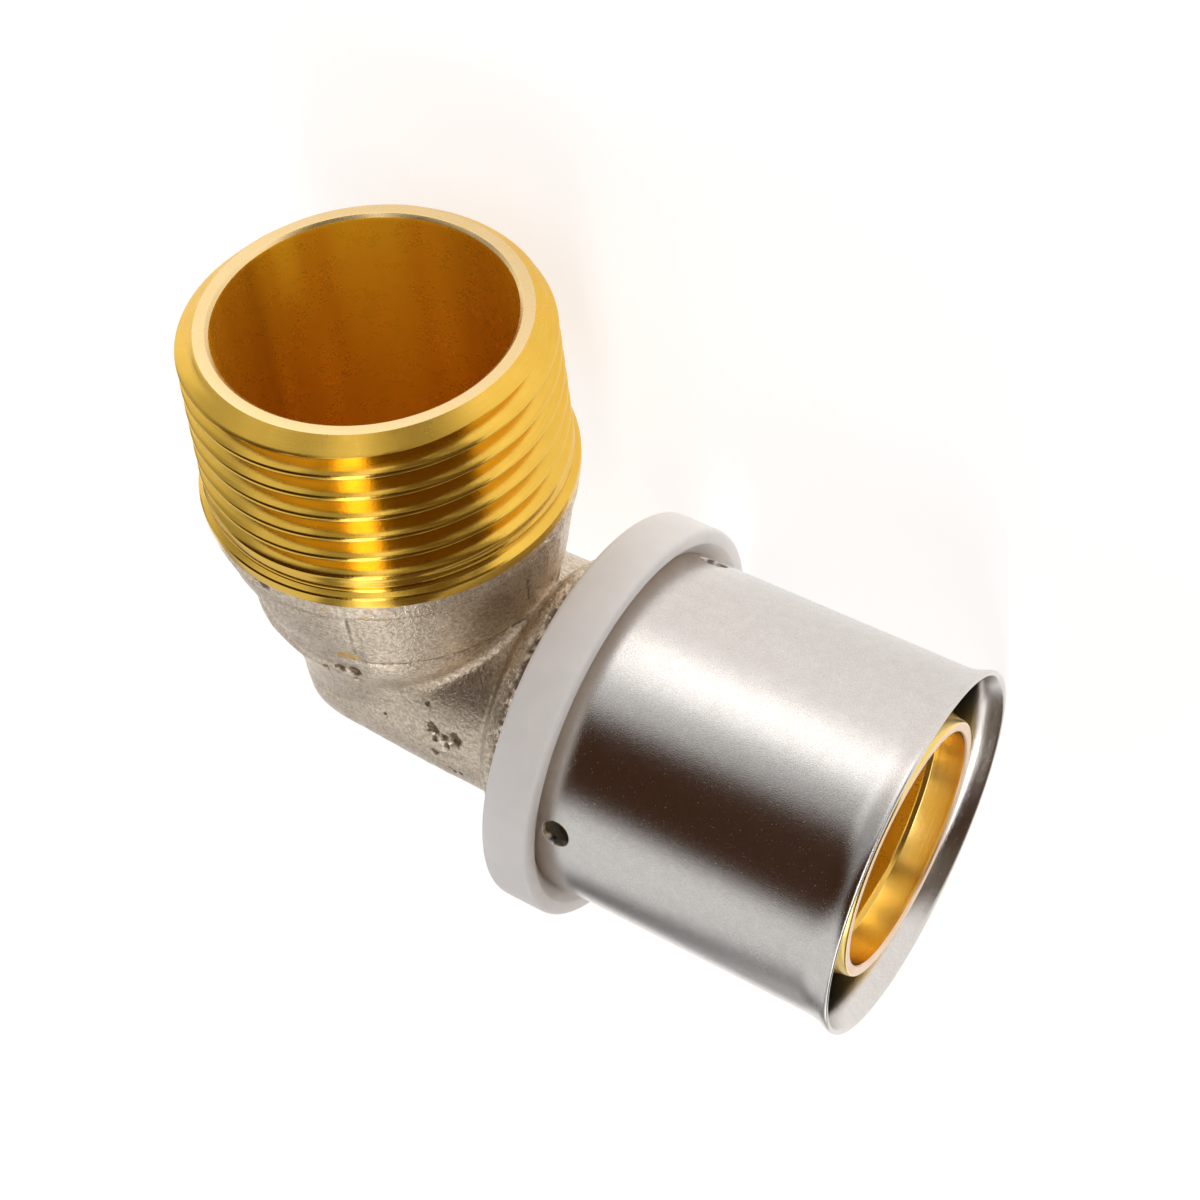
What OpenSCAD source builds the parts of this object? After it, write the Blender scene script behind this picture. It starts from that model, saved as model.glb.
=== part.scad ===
// 90 degree press elbow: taper-threaded male end on one leg, press end for a 25 x 2.5 mm multilayer pipe on the other.
// X runs out of the press end, Y out of the threaded end, Z is up with the fitting lying on its side.
// The origin is where the two leg axes cross. All sizes are in millimetres.

/* [Threaded leg] */
// Distance from the leg crossing to the threaded end face
thread_face_y = 31.04; // [29:0.01:36]
// Radius of the waterway in the threaded leg
thread_bore_r = 10.17; // [9:0.01:10.5]
// Height where the straight waterway of the threaded leg ends and narrows towards the bend
thread_bore_low_y = 11.2; // [11:0.1:12]
// Crest radius of the thread just behind its lead-in chamfer
thread_front_r = 12.6; // [12.2:0.01:12.8]
// Crest radius of the thread at its root end
thread_back_r = 13.05; // [12.9:0.01:13.2]
// Radius of the turned rim that ends the thread
rim_r = 13.44; // [13.3:0.01:13.6]
// Position of the rim's lower edge along the leg
rim_y = 17.15; // [16.5:0.01:17.6]
// Size of the small chamfer at the mouth of the bore
mouth_chamfer = 0.3; // [0.1:0.05:0.5]

/* [Forged body] */
// Outer radius of both tubes where they meet in the bend
bend_r = 9.4; // [9.2:0.05:9.6]
// Radius of the sphere that rounds the outer corner of the bend
corner_r = 11.35; // [10.8:0.05:11.8]
// Radius of the collar at its lower edge
collar_low_r = 12.05; // [11.8:0.05:12.3]
// Height of the collar's lower edge along the threaded leg
collar_low_y = 9.3; // [9:0.05:9.8]
// Radius of the bead behind the stop ring
bead_r = 10.55; // [10.2:0.05:11]

/* [Press leg] */
// Radius of the waterway in the press leg
press_bore_r = 8.2; // [7.6:0.05:8.4]
// Radius of the counterbore at the press end
press_mouth_r = 8.81; // [8.6:0.01:9]
// Depth of the counterbore at the press end
press_mouth_depth = 2.4; // [1:0.1:4]
// Outer radius of the spigot that the pipe slides on
spigot_r = 9.9; // [9.8:0.01:10]
// Distance from the leg crossing to the spigot's end face
spigot_x = 41.66; // [40:0.01:42]
// Floor radius of the two O-ring grooves
groove_r = 8.95; // [8.8:0.05:9.2]
// Width of each O-ring groove
groove_w = 1.9; // [1.6:0.1:2.2]
// Position of the rear O-ring groove's middle
rear_groove_x = 25.9; // [25:0.1:27]
// Position of the front O-ring groove's middle
front_groove_x = 32.9; // [31:0.1:34]
// Radius of the O-ring cord
cord_r = 0.65; // [0.5:0.05:0.8]

/* [Stop ring] */
// Position of the ring's back face
ring_back_x = 16.2; // [15.8:0.05:16.6]
// Position of the ring's front face
ring_front_x = 20; // [19.8:0.05:20.2]
// Outer radius of the ring
ring_r = 15.3; // [14.8:0.05:15.6]
// Rounding of the ring's outer edges
ring_round = 0.4; // [0.2:0.05:0.8]

/* [Press sleeve] */
// Outer radius of the sleeve
sleeve_r = 13.15; // [13.1:0.01:13.3]
// Sheet thickness of the sleeve
sleeve_wall = 0.6; // [0.5:0.05:0.7]
// Position of the sleeve's back edge inside the ring
sleeve_back_x = 17.4; // [17.2:0.05:17.8]
// Position of the flared lip's end
sleeve_front_x = 42.4; // [42:0.01:43]
// Outer radius of the flared lip
lip_r = 13.65; // [13.5:0.01:13.8]
// Radius of each inspection hole
window_r = 1.05; // [0.8:0.05:1.2]
// Position of the inspection holes along the leg
window_x = 20.95; // [20.9:0.05:21.5]
// Turn of the first inspection hole about the leg
window_turn = 77.2; // [0:0.1:119]

/* [Hidden] */
$fn = 96;
eps = 0.01;

// Turns a profile drawn as [radius, height] about the threaded leg's axis
module about_thread() { rotate([-90, 0, 0]) rotate_extrude() children(); }
// Turns a profile drawn as [radius, height] about the press leg's axis
module about_press() { rotate([0, 90, 0]) rotate_extrude() children(); }

// Outside of the threaded leg, from the bend to the end face
module thread_profile() {
    polygon([
        [0, 0], [bend_r - 0.05, 0], [bend_r - 0.05, 2.0], [bend_r + 0.35, 3.3], [bend_r + 0.8, 4.7],
        [bend_r + 1.35, 6.2], [bend_r + 1.95, 7.6], [collar_low_r - 0.25, collar_low_y - 0.35],
        [collar_low_r, collar_low_y], [12.95, 15.1], [13.1, 15.45], [13.2, 15.9],
        [rim_r - 0.12, rim_y - 0.1], [rim_r, rim_y], [rim_r, rim_y + 0.7], [thread_back_r - 0.3, rim_y + 1.15],
        [thread_back_r - 0.3, rim_y + 1.45], [thread_back_r, rim_y + 1.75],
        [thread_front_r, thread_face_y - 0.9], [thread_front_r - 0.15, thread_face_y - 0.75],
        [11.24, thread_face_y], [0, thread_face_y]
    ]);
}

// Outside of the press leg, from the bend to the spigot's end face
module press_profile() {
    polygon([
        [0, 0], [bend_r - 0.15, 0], [bend_r, 4.5], [bend_r + 0.1, 11.6], [bend_r + 0.16, 12.2],
        [bend_r + 0.6, 12.62], [bead_r - 0.12, 13.0], [bead_r, 13.3], [bead_r, 14.2], [bead_r - 0.15, 14.5],
        [spigot_r, 14.8], [spigot_r, 17.0], [spigot_r - 0.45, 17.2], [spigot_r - 0.45, 18.2],
        [spigot_r, 18.4], [spigot_r, 40.45], [9.66, 41.5], [9.5, spigot_x], [0, spigot_x]
    ]);
}

// Ring-shaped cutter for one O-ring groove
module o_ring_groove(x) {
    translate([x - groove_w / 2, 0, 0]) rotate([0, 90, 0]) difference() {
        cylinder(r = spigot_r + 1, h = groove_w);
        translate([0, 0, -eps]) cylinder(r = groove_r, h = groove_w + 2 * eps);
    }
}

module elbow_body() color([0.74, 0.70, 0.62]) difference() {
    union() {
        about_thread() thread_profile();
        about_press() press_profile();
        // outer corner of the bend: both tubes run on into each other and a sphere rounds the corner
        intersection() {
            rotate([-90, 0, 0]) translate([0, 0, -13]) cylinder(r = bend_r - 0.05, h = 26);
            rotate([0, 90, 0]) translate([0, 0, -13]) cylinder(r = bend_r - 0.15, h = 26);
            sphere(r = corner_r);
        }
    }
    // waterway of the threaded leg, with its mouth chamfer, the taper down to the bend and the drill's point
    about_thread() polygon([
        [0, -8.35], [press_bore_r - 0.1, -3], [press_bore_r - 0.1, 3.5], [thread_bore_r, thread_bore_low_y],
        [thread_bore_r, thread_face_y - mouth_chamfer], [thread_bore_r + mouth_chamfer, thread_face_y],
        [thread_bore_r + mouth_chamfer, thread_face_y + 1], [0, thread_face_y + 1]
    ]);
    // waterway of the press leg, with its counterbore and the drill's point
    about_press() polygon([
        [0, -8.25], [press_bore_r, -3], [press_bore_r, spigot_x - press_mouth_depth - 0.2],
        [press_mouth_r, spigot_x - press_mouth_depth], [press_mouth_r, spigot_x + 1], [0, spigot_x + 1]
    ]);
    o_ring_groove(rear_groove_x);
    o_ring_groove(front_groove_x);
}

module press_sleeve() color([0.78, 0.77, 0.75]) difference() {
    about_press() {
        polygon([
            [sleeve_r - sleeve_wall, sleeve_back_x], [sleeve_r, sleeve_back_x],
            [sleeve_r, 40.3], [sleeve_r + 0.06, 40.8], [sleeve_r + 0.2, 41.3], [lip_r - 0.12, 41.75],
            [lip_r, sleeve_front_x - 0.35], [lip_r - 0.06, sleeve_front_x - 0.1], [lip_r - 0.22, sleeve_front_x],
            [lip_r - 0.42, sleeve_front_x - 0.08],
            [sleeve_r - sleeve_wall + 0.45, 41.75], [sleeve_r - sleeve_wall + 0.15, 41.2], [sleeve_r - sleeve_wall, 40.5]
        ]);
    }
    for (k = [0:2]) rotate([window_turn + 120 * k, 0, 0])
        translate([window_x, sleeve_r - 2, 0]) rotate([-90, 0, 0]) cylinder(r = window_r, h = 4);
}

module stop_ring() color([0.93, 0.92, 0.90]) about_press() difference() {
    polygon([
        [spigot_r, ring_back_x], [ring_r - ring_round, ring_back_x], [ring_r - ring_round * 0.29, ring_back_x + ring_round * 0.29],
        [ring_r, ring_back_x + ring_round], [ring_r, ring_front_x - ring_round],
        [ring_r - ring_round * 0.29, ring_front_x - ring_round * 0.29], [ring_r - ring_round, ring_front_x],
        [14.3, ring_front_x - 0.04], [13.9, ring_front_x - 0.3], [13.3, ring_front_x - 0.85], [sleeve_r, ring_front_x - 0.95],
        [sleeve_r - sleeve_wall, ring_front_x - 0.95], [spigot_r, ring_front_x - 0.95],
        [spigot_r, 18.4], [spigot_r - 0.45, 18.2], [spigot_r - 0.45, 17.2], [spigot_r, 17.0]
    ]);
    translate([sleeve_r - sleeve_wall, sleeve_back_x]) square([sleeve_wall, 5]);
}

module o_ring(x) color([0.10, 0.10, 0.11]) translate([x, 0, 0]) rotate([0, 90, 0])
    rotate_extrude() translate([groove_r + cord_r, 0]) circle(r = cord_r, $fn = 48);

module o_ring_rear() o_ring(rear_groove_x);
module o_ring_front() o_ring(front_groove_x);

elbow_body();
press_sleeve();
stop_ring();
o_ring_rear();
o_ring_front();
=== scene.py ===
import math

import bpy
import numpy as np
from mathutils import Matrix, Vector


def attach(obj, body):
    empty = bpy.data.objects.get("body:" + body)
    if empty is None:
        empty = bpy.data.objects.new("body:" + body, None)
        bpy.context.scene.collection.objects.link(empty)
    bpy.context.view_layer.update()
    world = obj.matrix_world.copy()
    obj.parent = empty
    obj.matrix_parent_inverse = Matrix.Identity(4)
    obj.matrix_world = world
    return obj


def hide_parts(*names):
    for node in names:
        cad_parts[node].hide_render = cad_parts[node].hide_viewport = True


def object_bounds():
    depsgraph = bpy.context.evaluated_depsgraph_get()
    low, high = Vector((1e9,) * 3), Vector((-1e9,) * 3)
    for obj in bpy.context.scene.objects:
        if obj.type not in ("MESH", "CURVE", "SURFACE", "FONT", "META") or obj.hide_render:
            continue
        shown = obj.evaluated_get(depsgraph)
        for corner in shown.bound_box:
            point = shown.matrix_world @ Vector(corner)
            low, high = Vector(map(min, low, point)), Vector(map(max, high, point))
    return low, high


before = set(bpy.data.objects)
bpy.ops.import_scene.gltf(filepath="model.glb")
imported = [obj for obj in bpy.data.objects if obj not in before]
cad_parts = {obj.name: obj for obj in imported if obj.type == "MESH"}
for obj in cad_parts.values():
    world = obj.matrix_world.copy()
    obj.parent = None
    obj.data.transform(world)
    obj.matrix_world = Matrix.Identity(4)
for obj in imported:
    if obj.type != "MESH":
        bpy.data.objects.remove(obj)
cad_lo, cad_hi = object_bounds()
MM = 0.001

# ---------------------------------------------------------------- mesh tools

def weld(V, F, tol=1e-4):
    """Joins vertices closer than tol (mm) and drops the faces that collapse."""
    key = np.round(V / tol).astype(np.int64)
    _, first, inv = np.unique(key, axis=0, return_index=True, return_inverse=True)
    inv = inv.reshape(-1)
    faces = []
    for f in inv[np.asarray(F)]:
        g = [int(f[k]) for k in range(len(f)) if f[k] != f[k - 1]]
        if len(g) >= 3 and len(set(g)) == len(g):
            faces.append(g)
    return V[first], faces


def piece(name, parts, materials, sharp=32):
    """One mesh object from parts, each (V in mm, F, material index)."""
    V, F, M = [], [], []
    n = 0
    for v, f, m in parts:
        V.append(np.asarray(v, float))
        if isinstance(f, np.ndarray):
            f = (f + n).tolist()
        else:
            f = [[i + n for i in q] for q in f]
        F += f
        if np.ndim(m):
            M += [int(k) for k in m]
        else:
            M += [m] * len(f)
        n += len(v)
    V = np.concatenate(V) * MM
    me = bpy.data.meshes.new(name)
    me.from_pydata(V.tolist(), [], F)
    for mat in materials:
        me.materials.append(mat)
    me.polygons.foreach_set("material_index", np.array(M, dtype=np.int32))
    me.update()
    me.shade_smooth()
    me.set_sharp_from_angle(angle=math.radians(sharp))
    ob = bpy.data.objects.new(name, me)
    bpy.context.scene.collection.objects.link(ob)
    return ob


def grid_faces(rows, n, flip, wrap=True):
    j = np.arange(n if wrap else n - 1)
    jn = (j + 1) % n
    out = []
    for i in range(rows - 1):
        a, b, c, d = i * n + j, i * n + jn, (i + 1) * n + jn, (i + 1) * n + j
        out.append(np.stack([d, c, b, a] if flip else [a, b, c, d], axis=1))
    return np.concatenate(out)


def about_y(r, y, phi):
    return np.stack([r * np.cos(phi), y + 0 * phi, r * np.sin(phi)], axis=-1)


def about_x(r, x, phi):
    return np.stack([x + 0 * phi, r * np.cos(phi), r * np.sin(phi)], axis=-1)


def turned(profile, axis, n=240, start=0.0, closed=False):
    """Surface of revolution. The profile is [(radius, height)], run so that the outside has rising height."""
    pts = list(profile) + ([profile[0]] if closed else [])
    phi = start + np.arange(n) * 2 * math.pi / n
    put = about_y if axis == "y" else about_x
    V = np.concatenate([put(r, h, phi) for r, h in pts])
    return weld(V, grid_faces(len(pts), n, axis == "y"))


def rounded(points, radius, steps=4):
    """Rounds the corners of an open polyline [(a, b)]. radius is one number, or one for each inner corner."""
    P = [np.array(p, float) for p in points]
    rad = [radius] * len(P) if not isinstance(radius, (list, tuple)) else [0] + list(radius) + [0]
    out = [tuple(P[0])]
    for k in range(1, len(P) - 1):
        a, b, c = P[k - 1], P[k], P[k + 1]
        u, v = (a - b), (c - b)
        lu, lv = np.linalg.norm(u), np.linalg.norm(v)
        u, v = u / lu, v / lv
        ang = math.acos(max(-1, min(1, float(u @ v))))
        r = rad[k]
        if r <= 0 or ang > math.pi - 0.02:
            out.append(tuple(b))
            continue
        t = min(r / math.tan(ang / 2), 0.45 * lu, 0.45 * lv)
        for s in range(steps + 1):
            w = s / steps
            p = (1 - w) ** 2 * (b + u * t) + 2 * w * (1 - w) * b + w ** 2 * (b + v * t)
            out.append(tuple(p))
    out.append(tuple(P[-1]))
    return out


def smoothstep(a, b, x):
    t = np.clip((x - a) / (b - a), 0, 1)
    return t * t * (3 - 2 * t)

# ---------------------------------------------------------------- the forged body

def table_of(profile, r_max, h_lo, h_hi, step=0.05):
    """Signed distance in the half plane (radius, height) of the solid inside a profile, as a table."""
    P = [(r, h) for r, h in profile]
    poly = np.array(P + [(-r, h) for r, h in reversed(P)])
    R, H = np.meshgrid(np.arange(0, r_max + step, step), np.arange(h_lo, h_hi + step, step), indexing="ij")
    best = np.full(R.shape, 1e9)
    inside = np.zeros(R.shape, bool)
    for k in range(len(poly)):
        a, b = poly[k], poly[(k + 1) % len(poly)]
        e = b - a
        if e @ e < 1e-12:
            continue
        wx, wy = R - a[0], H - a[1]
        t = np.clip((wx * e[0] + wy * e[1]) / (e @ e), 0, 1)
        best = np.minimum(best, np.hypot(wx - t * e[0], wy - t * e[1]))
        cond = (a[1] > H) != (b[1] > H)
        with np.errstate(divide="ignore", invalid="ignore"):
            xi = a[0] + (H - a[1]) * e[0] / e[1]
        inside ^= cond & (R < xi)
    return np.where(inside, -best, best), h_lo, step


def look_up(tab, r, h):
    T, h_lo, step = tab
    u = np.clip(r / step, 0, T.shape[0] - 1.001)
    v = np.clip((h - h_lo) / step, 0, T.shape[1] - 1.001)
    i, j = u.astype(int), v.astype(int)
    fu, fv = u - i, v - j
    return (T[i, j] * (1 - fu) + T[i + 1, j] * fu) * (1 - fv) + (T[i, j + 1] * (1 - fu) + T[i + 1, j + 1] * fu) * fv


def smin(a, b, r):
    return np.maximum(r, np.minimum(a, b)) - np.hypot(np.maximum(r - a, 0), np.maximum(r - b, 0))


def smax(a, b, r):
    return -smin(-a, -b, r)


COLLAR = rounded([(9.3, -16), (9.3, 0.4), (9.5, 2.0), (9.72, 3.1), (10.2, 4.6), (10.8, 6.0), (11.35, 7.1), (11.7, 8.0),
                  (11.86, 8.85), (11.9, 9.36), (12.07, 9.62), (13.05, 15.42), (13.2, 15.56), (13.22, 17.0), (13.22, 22)],
                 [1.5, 2, 2, 2, 2, 2, 0.8, 0.25, 0.1, 0.22, 0.3, 0.08, 0.05, 0.05], 4)
HUB = rounded([(9.2, -16), (9.2, 1.0), (9.38, 5.5), (9.45, 11.4), (9.52, 12.25), (10.0, 12.6), (10.42, 12.95), (10.55, 13.3),
               (10.55, 14.15), (10.35, 14.5), (9.9, 14.85), (9.9, 22)],
              [2, 2, 1.0, 0.35, 0.1, 0.3, 0.3, 0.3, 0.2, 0.2, 0.1], 4)
T_TAB = table_of(COLLAR, 24, -16, 22)
S_TAB = table_of(HUB, 24, -16, 22)


def waves(P, seed, length, count=7):
    """Gentle seeded unevenness of a forging, about -1 to 1."""
    rng = np.random.default_rng(seed)
    s = 0
    for _ in range(count):
        d = rng.normal(size=3)
        d *= 2 * math.pi / (length * rng.uniform(0.7, 1.5)) / np.linalg.norm(d)
        s = s + np.sin(P @ d + rng.uniform(0, 6.28))
    return s / count ** 0.5 / 1.5


# Shallow pits and dimples in the forging: (place in mm, radius, depth). A negative depth is a small raised blob.
PITS = [((1.91, 7.34, 10.99), 0.36, 0.22), ((3.11, 7.40, 10.71), 0.42, 0.28), ((2.81, 6.06, 10.42), 0.32, 0.20), ((2.5, 7.0, 10.8), 0.30, 0.14),
        ((0.85, 7.4, 11.2), 0.28, 0.13), ((0.59, 6.24, 10.88), 0.28, 0.13), ((1.6, 7.95, 11.25), 0.24, 0.12),
        ((7.92, 2.05, 8.96), 0.46, 0.27), ((8.05, 1.55, 9.10), 0.30, 0.16), ((8.13, 1.10, 9.22), 0.30, 0.16), ((8.96, 1.72, 9.11), 0.34, 0.20),
        ((9.17, 0.94, 9.26), 0.30, 0.16), ((9.91, 1.99, 8.96), 0.52, 0.30), ((9.55, 1.45, 9.12), 0.26, 0.14), ((7.90, -0.48, 9.30), 0.30, 0.16),
        ((8.23, -0.66, 9.29), 0.28, 0.14), ((9.05, -2.26, 9.05), 0.38, 0.17), ((9.85, -2.15, 9.11), 0.34, 0.15),
        ((8.70, 0.25, 9.30), 0.36, -0.13), ((9.60, 0.55, 9.28), 0.38, -0.13), ((10.45, 0.95, 9.20), 0.36, -0.12), ((9.0, -0.9, 9.25), 0.34, -0.11),
        ((9.9, -1.1, 9.2), 0.30, -0.10),
        ((3.63, 1.17, 9.20), 0.24, 0.14), ((7.38, 3.98, 8.53), 0.26, 0.14),
        ((-3.1, 3.0, -9.6), 0.40, 0.16), ((5.4, -1.2, -9.1), 0.36, 0.14), ((-8.6, 4.2, 4.1), 0.34, 0.12), ((7.1, -8.3, -3.2), 0.40, 0.14),
        ((-9.6, 11.6, -6.4), 0.36, 0.12), ((2.0, -9.2, 1.4), 0.34, 0.12), ((10.2, 3.1, -8.8), 0.38, 0.16)]


def forging(P):
    x, y, z = P[:, 0], P[:, 1], P[:, 2]
    az = np.abs(z)
    rt, rs = np.hypot(x, z), np.hypot(y, z)
    phi = np.degrees(np.arctan2(az, x))
    # the two spanner faces of the collar lie a little lower than the rest of it
    face = smoothstep(8.2, 10.2, phi) * (1 - smoothstep(67.2, 69.4, phi)) + smoothstep(110.6, 112.8, phi) * (1 - smoothstep(169.8, 171.8, phi))
    low = face * smoothstep(9.2, 9.7, y) * (1 - smoothstep(15.42, 15.6, y))
    rest = (1 - face) * smoothstep(9.3, 11.5, y) * (1 - smoothstep(14.2, 15.6, y))
    corner = (1 - face) * (1 - smoothstep(0.2, 2.6, np.abs(y - 9.7)))
    # under the collar's rounded ends the forging is a little hollow, and a fine line bounds the spanner faces
    hollow = 0.42 * smoothstep(69, 74, phi) * (1 - smoothstep(102, 118, phi)) * np.exp(-((y - 7.7) / 0.75) ** 2)
    line = 0.13 * face * (np.exp(-((y - 9.40) / 0.17) ** 2) + np.exp(-((y - 15.48) / 0.15) ** 2))
    edge = 0.07 * np.exp(-((phi - 68.6) / 1.3) ** 2) * smoothstep(9.4, 10.2, y) * (1 - smoothstep(15.0, 15.8, y))
    flat = 0.75 * smoothstep(98, 107, phi) * (1 - smoothstep(165, 172, phi)) * smoothstep(6.8, 9.3, y) * (1 - smoothstep(9.8, 15.6, y))
    t = look_up(T_TAB, rt + 0.05 * low - 0.10 * rest + 0.26 * corner + hollow + line + edge + flat, y)
    s = look_up(S_TAB, rs, x)
    clip_t = np.where(y < 0, rs, az - 0.5 * y) - 9.2
    clip_s = np.where(x < 0, rt, az - 0.5 * x) - 9.3
    ball = np.sqrt(np.minimum(x, 0) ** 2 + np.minimum(y, 0) ** 2
                   + np.maximum(az - 0.6 * (np.maximum(x, 0) + np.maximum(y, 0)), 0) ** 2) - 11.1
    t = smax(smax(t, clip_t, 1.2), ball, 2.5)
    s = smax(smax(s, clip_s, 1.2), ball, 2.5)
    k = 0.75 * smoothstep(-0.5, 3.5, np.minimum(x, y)) + 1e-3
    d = smin(t, s, k)
    # the parting line of the forging dies, ground off to a faint ridge
    seam = np.exp(-(z / 0.35) ** 2)
    d = d - 0.05 * seam * (0.5 + 0.5 * waves(P, 5, 7)) * (rs + rt > 19)
    d = d + 0.030 * waves(P, 1, 5.0) + 0.016 * waves(P, 2, 1.6) + 0.075 * waves(P, 3, 1.2) * smoothstep(12.9, 13.4, x) * (1 - smoothstep(15.0, 15.5, x))
    Q = P + 0.22 * np.stack([waves(P, 11, 0.9), waves(P, 12, 0.9), waves(P, 13, 0.9)], 1)
    for c, r, dep in PITS:
        q = ((Q - np.array(c)) ** 2).sum(1) / (1.2 * r) ** 2
        d = d + dep * (1.9 * np.exp(-q * 1.4) - 0.45 * np.exp(-q * 0.45))
    return d


def surface_net(func, lo, hi, h, rounds=2):
    """Quad mesh of func = 0 in a box, open where the surface leaves the box."""
    ax = [np.arange(lo[k], hi[k] + h * 0.5, h) for k in range(3)]
    n = [len(a) for a in ax]
    F = np.empty(n, np.float32)
    Y, Z = np.meshgrid(ax[1], ax[2], indexing="ij")
    for i, xv in enumerate(ax[0]):
        F[i] = func(np.stack([np.full(Y.size, xv), Y.ravel(), Z.ravel()], 1)).reshape(Y.shape)
    neg = F < 0
    c = sum(neg[i:n[0] - 1 + i, j:n[1] - 1 + j, k:n[2] - 1 + k].astype(np.int8) for i in (0, 1) for j in (0, 1) for k in (0, 1))
    I, J, K = np.nonzero((c > 0) & (c < 8))
    index = np.full([m - 1 for m in n], -1, np.int64)
    index[I, J, K] = np.arange(len(I))
    acc, cnt = np.zeros((len(I), 3)), np.zeros(len(I))
    corners = [(i, j, k) for i in (0, 1) for j in (0, 1) for k in (0, 1)]
    for a in corners:
        for b in corners:
            if sum(b) - sum(a) == 1 and sum(abs(np.array(b) - np.array(a))) == 1:
                fa, fb = F[I + a[0], J + a[1], K + a[2]], F[I + b[0], J + b[1], K + b[2]]
                cross = (fa < 0) != (fb < 0)
                with np.errstate(divide="ignore", invalid="ignore"):
                    t = np.where(cross, fa / (fa - fb), 0)
                acc += np.where(cross[:, None], np.array(a) + t[:, None] * (np.array(b) - np.array(a)), 0)
                cnt += cross
    V = np.array([ax[0][0], ax[1][0], ax[2][0]]) + h * (np.stack([I, J, K], 1) + acc / cnt[:, None])
    faces = []
    for d in range(3):
        e1, e2 = (d + 1) % 3, (d + 2) % 3
        sl = [slice(None)] * 3
        sl2 = [slice(None)] * 3
        sl[d], sl2[d] = slice(0, n[d] - 1), slice(1, n[d])
        A, B = neg[tuple(sl)], neg[tuple(sl2)]
        E = np.argwhere(A != B)
        E = E[(E[:, e1] > 0) & (E[:, e1] < n[e1] - 1) & (E[:, e2] > 0) & (E[:, e2] < n[e2] - 1)]
        sign = A[tuple(E.T)]
        q = []
        for o1, o2 in ((-1, -1), (0, -1), (0, 0), (-1, 0)):
            C = E.copy()
            C[:, e1] += o1
            C[:, e2] += o2
            q.append(index[tuple(C.T)])
        Q = np.stack(q, 1)
        Q[~sign] = Q[~sign][:, ::-1]
        faces.append(Q)
    Q = np.concatenate(faces)
    Q = Q[(Q >= 0).all(1)]
    edge = np.concatenate([Q[:, [0, 1]], Q[:, [1, 2]], Q[:, [2, 3]], Q[:, [3, 0]]])
    edge = np.concatenate([edge, edge[:, ::-1]])
    deg = np.bincount(edge[:, 0], minlength=len(V))
    # vertices on an open border stay in their place
    und = np.sort(edge[: len(edge) // 2], 1)
    _, inv, num = np.unique(und, axis=0, return_inverse=True, return_counts=True)
    border = np.zeros(len(V), bool)
    border[und[num[inv.reshape(-1)] == 1].ravel()] = True
    free = ~border

    def project(V, times=2):
        for _ in range(times):
            f = func(V)
            g = np.stack([(func(V + np.eye(3)[k] * 0.02) - func(V - np.eye(3)[k] * 0.02)) / 0.04 for k in range(3)], 1)
            step = np.clip(f / np.maximum((g * g).sum(1), 0.2), -h, h)
            V = V - g * step[:, None]
        return V

    V = project(V)
    for _ in range(rounds):
        m = np.stack([np.bincount(edge[:, 0], V[edge[:, 1], k], minlength=len(V)) for k in range(3)], 1) / np.maximum(deg, 1)[:, None]
        V = np.where(free[:, None], V + 0.5 * (m - V), V)
        V = project(V, 1)
    used = np.unique(Q)
    remap = np.full(len(V), -1)
    remap[used] = np.arange(len(used))
    return V[used], remap[Q]


STEP = 0.27
shell = surface_net(forging, (-12.9, -10.6, -14.0), (15.5, 17.16, 14.0), STEP)

# the waterways inside the bend: both bores with their drill points, and where they meet
T_BORE = table_of(rounded([(0.0, -8.3), (8.1, -3.0), (8.1, 3.2), (9.9, 7.0), (10.17, 9.5), (10.17, 30)], [0.3, 1.5, 2.0, 1.5], 5), 16, -14, 26)
S_BORE = table_of(rounded([(0.0, -8.2), (8.2, -3.0), (8.2, 30)], [0.3], 4), 16, -14, 26)


def waterway(P):
    a = look_up(T_BORE, np.hypot(P[:, 0], P[:, 2]), P[:, 1])
    b = look_up(S_BORE, np.hypot(P[:, 1], P[:, 2]), P[:, 0])
    return -np.minimum(a, b)


inside = surface_net(waterway, (-10.8, -9.6, -10.8), (13.0, 14.0, 10.8), 0.6, 1)

# ---------------------------------------------------------------- turned parts of the body

PITCH = 1.814
ROOT_Y = 20.735 - 2 * PITCH  # a root line's height at angle 0
FACE_Y = 31.04


def thread_outline(a):
    """Depth below the crest against the distance from the root's middle, one pitch wide."""
    a = np.abs(((a / PITCH + 0.5) % 1) - 0.5) * PITCH
    b = PITCH / 2 - a
    r, deep = 0.137 * PITCH, 0.64 * PITCH
    c, s = math.cos(math.radians(27.5)), math.sin(math.radians(27.5))
    root = r - deep - np.sqrt(np.maximum(r * r - a * a, 0))
    crest = np.sqrt(np.maximum(r * r - b * b, 0)) - r
    flank = -r * (1 - s) - (b - r * c) * c / s
    return np.where(b < r * c, crest, np.where(a < r * c, root, flank))


def thread_limit(y):
    return np.interp(y, [18.30, 18.46, 18.8, 19.3, 30.12, 30.3, FACE_Y], [12.93, 12.95, 13.05, 13.06, 12.62, 12.45, 11.24])


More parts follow.
